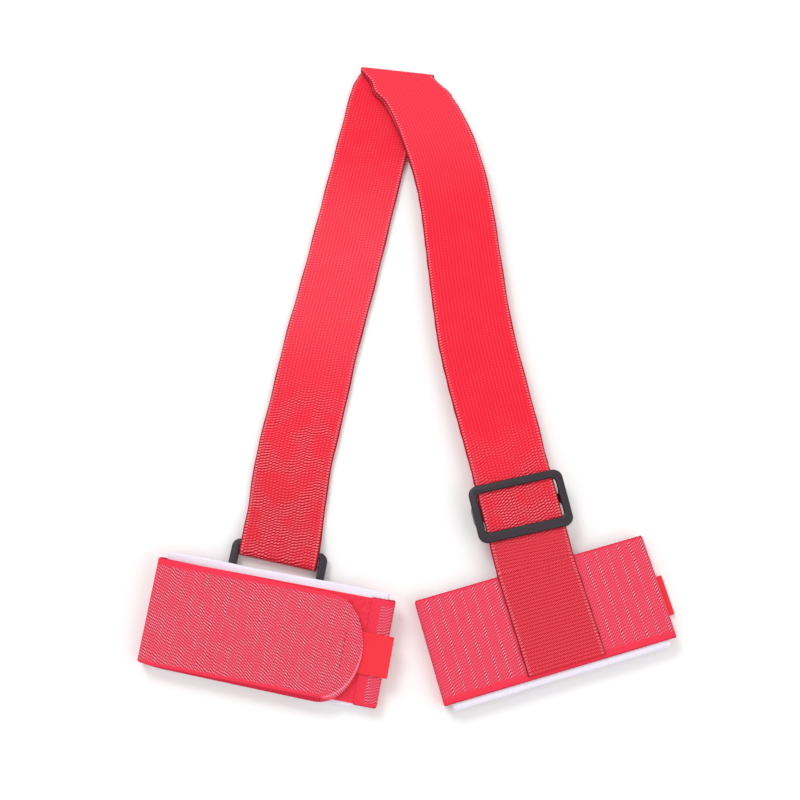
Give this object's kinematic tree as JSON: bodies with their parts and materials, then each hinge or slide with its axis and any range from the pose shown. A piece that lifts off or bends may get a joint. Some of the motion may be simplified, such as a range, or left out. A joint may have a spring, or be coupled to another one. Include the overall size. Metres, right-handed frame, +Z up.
{
  "type": "two-cuff carrying strap",
  "caption": "Adjustable doubled webbing sling with a tri-glide slider and a ring, joining two padded hook-and-loop cuffs, laid flat.",
  "frame": {"origin": "centre of the strap's box on the surface it lies on", "axes": "+Z up from that surface; +Y towards the shoulder fold; +X towards the right cuff, which hangs from the slider"},
  "size_m": [0.2536, 0.3388, 0.0155],
  "materials": {
    "webbing": "ribbed polypropylene webbing, slight sheen",
    "cuff_tape": "loop tape with rows of small slanted dashes, plain selvedges",
    "loop_lining": "short brushed loops",
    "hook_tape": "small moulded hooks on woven tape",
    "ribbon": "smooth woven ribbon",
    "thread": "twisted polyester thread",
    "foam": "closed-cell white foam, matte",
    "moulded_plastic": "moulded dark plastic, fine satin grain"
  },
  "bodies": {
    "left_leg": {"webbing_left_leg": "webbing"},
    "right_leg": {"webbing_outer_fold": "webbing", "webbing_inner_fold": "webbing", "webbing_outer_right": "webbing", "webbing_inner_right": "webbing", "webbing_inner_slack": "webbing"},
    "slider": {"slider_frame": "moulded_plastic", "webbing_end_loop": "webbing", "end_loop_stitching": "thread"},
    "lower_webbing": {"webbing_lower": "webbing"},
    "ring": {"ring": "moulded_plastic"},
    "left_cuff": {"keeper_tab": "ribbon", "keeper_stitching": "thread", "left_back_tape": "cuff_tape", "left_foam_pad": "foam", "left_loop_lining": "loop_lining", "left_hem_stitching": "thread"},
    "left_flap": {"left_flap_tape": "cuff_tape", "left_hook_patch": "hook_tape", "left_pull_tab": "ribbon", "left_tab_stitching": "thread"},
    "right_cuff": {"webbing_sewn_end": "webbing", "sewn_end_stitching": "thread", "right_back_tape": "cuff_tape", "right_foam_pad": "foam", "right_loop_lining": "loop_lining", "right_hem_stitching": "thread"},
    "right_flap": {"right_flap_tape": "cuff_tape", "right_hook_patch": "hook_tape", "right_pull_tab": "ribbon", "right_tab_stitching": "thread"}
  },
  "joints": [
    {"name": "shoulder_fold", "type": "hinge", "parent": "left_leg", "child": "right_leg", "pos_m": [-0.0043, 0.16404, 0.00305], "axis": [-0.9925, 0.1219, 0], "range_deg": [0, 170]},
    {"name": "strap_length", "type": "slide", "parent": "right_leg", "child": "lower_webbing", "axis": [0.2165, -0.9762, 0.0151], "range_m": [0, 0.035]},
    {"name": "slider_slide", "type": "slide", "parent": "right_leg", "child": "slider", "axis": [-0.2165, 0.9762, -0.0151], "range_m": [0, 0.035], "deforming": ["webbing_inner_slack"]},
    {"name": "ring_turn", "type": "hinge", "parent": "left_leg", "child": "ring", "pos_m": [-0.06144, -0.0937, 0.00295], "axis": [0.9833, -0.1822, 0], "range_deg": [-80, 80]},
    {"name": "left_cuff_turn", "type": "hinge", "parent": "ring", "child": "left_cuff", "pos_m": [-0.06526, -0.11435, 0.00295], "axis": [0.9833, -0.1822, 0], "range_deg": [-12, 100]},
    {"name": "left_flap_open", "type": "hinge", "parent": "left_cuff", "child": "left_flap", "pos_m": [-0.12087, -0.12357, 0.01073], "axis": [-0.1806, -0.9747, -0.132], "range_deg": [0, 170]},
    {"name": "right_cuff_turn", "type": "hinge", "parent": "lower_webbing", "child": "right_cuff", "pos_m": [0.0607, -0.10196, 0.0096], "axis": [0.9613, 0.2756, 0], "range_deg": [-75, 60]},
    {"name": "right_flap_open", "type": "hinge", "parent": "right_cuff", "child": "right_flap", "pos_m": [0.01153, -0.14269, 0.0015], "axis": [-0.2756, 0.9613, 0], "range_deg": [0, 170]}
  ],
  "couplings": [
    {"joint": "slider_slide", "follows": "strap_length", "ratio": 1}
  ]
}
